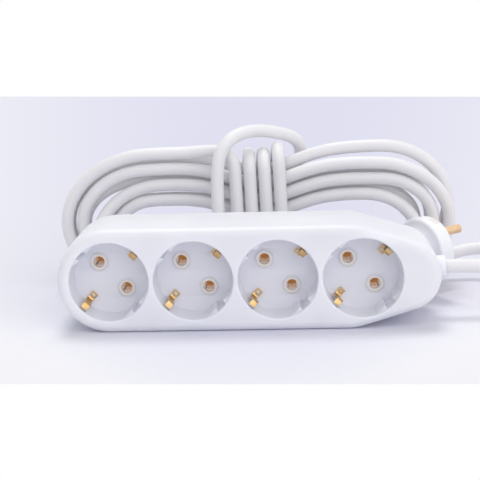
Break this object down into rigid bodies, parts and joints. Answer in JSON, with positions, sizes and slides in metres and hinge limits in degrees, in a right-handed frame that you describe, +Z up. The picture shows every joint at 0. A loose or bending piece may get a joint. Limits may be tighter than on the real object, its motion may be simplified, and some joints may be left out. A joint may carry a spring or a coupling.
{
  "type": "extension cord",
  "caption": "Socket strip with round plug recesses and sprung earth clips in a row, its round mains cord bound in a hank behind it and ending in an earthed plug.",
  "frame": {"origin": "bottom centre of the housing's box, on the surface the strip stands on, without the cord, its gland and the plug", "axes": "+X along the strip towards the cord's end, +Y backwards, away from the socket face, +Z up"},
  "size_m": [0.2663, 0.123, 0.0909],
  "materials": {
    "housing_white": "satin moulded, faint mould grain",
    "plug_moulding": "soft moulded",
    "cord_sheath": "smooth extruded sheath",
    "ivory_insert": "matt thermoset",
    "brass": "rolled and bent strip, bright",
    "zinc_steel": "zinc plated",
    "live_core": "brown sheath",
    "neutral_core": "blue sheath",
    "earth_core": "green and yellow sheath"
  },
  "bodies": {
    "root": {"top_shell": "housing_white", "base_plate": "housing_white", "pin_rings": "ivory_insert", "live_bar": "brass", "neutral_bar": "brass", "earth_bar": "brass", "earth_feet": "brass", "earth_rivets": "zinc_steel", "cover_screws": "zinc_steel", "cord_clamp": "housing_white", "clamp_screws": "zinc_steel", "cord_inner_end": "cord_sheath", "live_wire": "live_core", "neutral_wire": "neutral_core", "earth_wire": "earth_core", "cord_gland": "plug_moulding", "cord_lead": "cord_sheath", "cord_hank": "cord_sheath", "cord_tail": "cord_sheath", "plug_body": "plug_moulding", "plug_bridge": "ivory_insert", "plug_pin_live": "brass", "plug_pin_neutral": "brass", "plug_earth_strips": "brass", "plug_earth_socket": "brass", "plug_cord_guard": "plug_moulding"},
    "clip_1a": {"earth_arm_1a": "brass"},
    "clip_1b": {"earth_arm_1b": "brass"},
    "clip_2a": {"earth_arm_2a": "brass"},
    "clip_2b": {"earth_arm_2b": "brass"},
    "clip_3a": {"earth_arm_3a": "brass"},
    "clip_3b": {"earth_arm_3b": "brass"},
    "clip_4a": {"earth_arm_4a": "brass"},
    "clip_4b": {"earth_arm_4b": "brass"}
  },
  "joints": [
    {"name": "clip_1a_spring", "type": "hinge", "parent": "root", "child": "clip_1a", "pos_m": [-0.08059, -0.0055, 0.01331], "axis": [0.7071, 0, -0.7071], "range_deg": [0, 5], "stiffness_Nm_per_rad": 0.5},
    {"name": "clip_1b_spring", "type": "hinge", "parent": "root", "child": "clip_1b", "pos_m": [-0.0557, -0.0055, 0.03819], "axis": [-0.7071, 0, 0.7071], "range_deg": [0, 5], "stiffness_Nm_per_rad": 0.5},
    {"name": "clip_2a_spring", "type": "hinge", "parent": "root", "child": "clip_2a", "pos_m": [-0.03929, -0.0055, 0.01331], "axis": [0.7071, 0, -0.7071], "range_deg": [0, 5], "stiffness_Nm_per_rad": 0.5},
    {"name": "clip_2b_spring", "type": "hinge", "parent": "root", "child": "clip_2b", "pos_m": [-0.0144, -0.0055, 0.03819], "axis": [-0.7071, 0, 0.7071], "range_deg": [0, 5], "stiffness_Nm_per_rad": 0.5},
    {"name": "clip_3a_spring", "type": "hinge", "parent": "root", "child": "clip_3a", "pos_m": [0.002, -0.0055, 0.01331], "axis": [0.7071, 0, -0.7071], "range_deg": [0, 5], "stiffness_Nm_per_rad": 0.5},
    {"name": "clip_3b_spring", "type": "hinge", "parent": "root", "child": "clip_3b", "pos_m": [0.02689, -0.0055, 0.03819], "axis": [-0.7071, 0, 0.7071], "range_deg": [0, 5], "stiffness_Nm_per_rad": 0.5},
    {"name": "clip_4a_spring", "type": "hinge", "parent": "root", "child": "clip_4a", "pos_m": [0.04331, -0.0055, 0.01331], "axis": [0.7071, 0, -0.7071], "range_deg": [0, 5], "stiffness_Nm_per_rad": 0.5},
    {"name": "clip_4b_spring", "type": "hinge", "parent": "root", "child": "clip_4b", "pos_m": [0.0682, -0.0055, 0.03819], "axis": [-0.7071, 0, 0.7071], "range_deg": [0, 5], "stiffness_Nm_per_rad": 0.5}
  ]
}
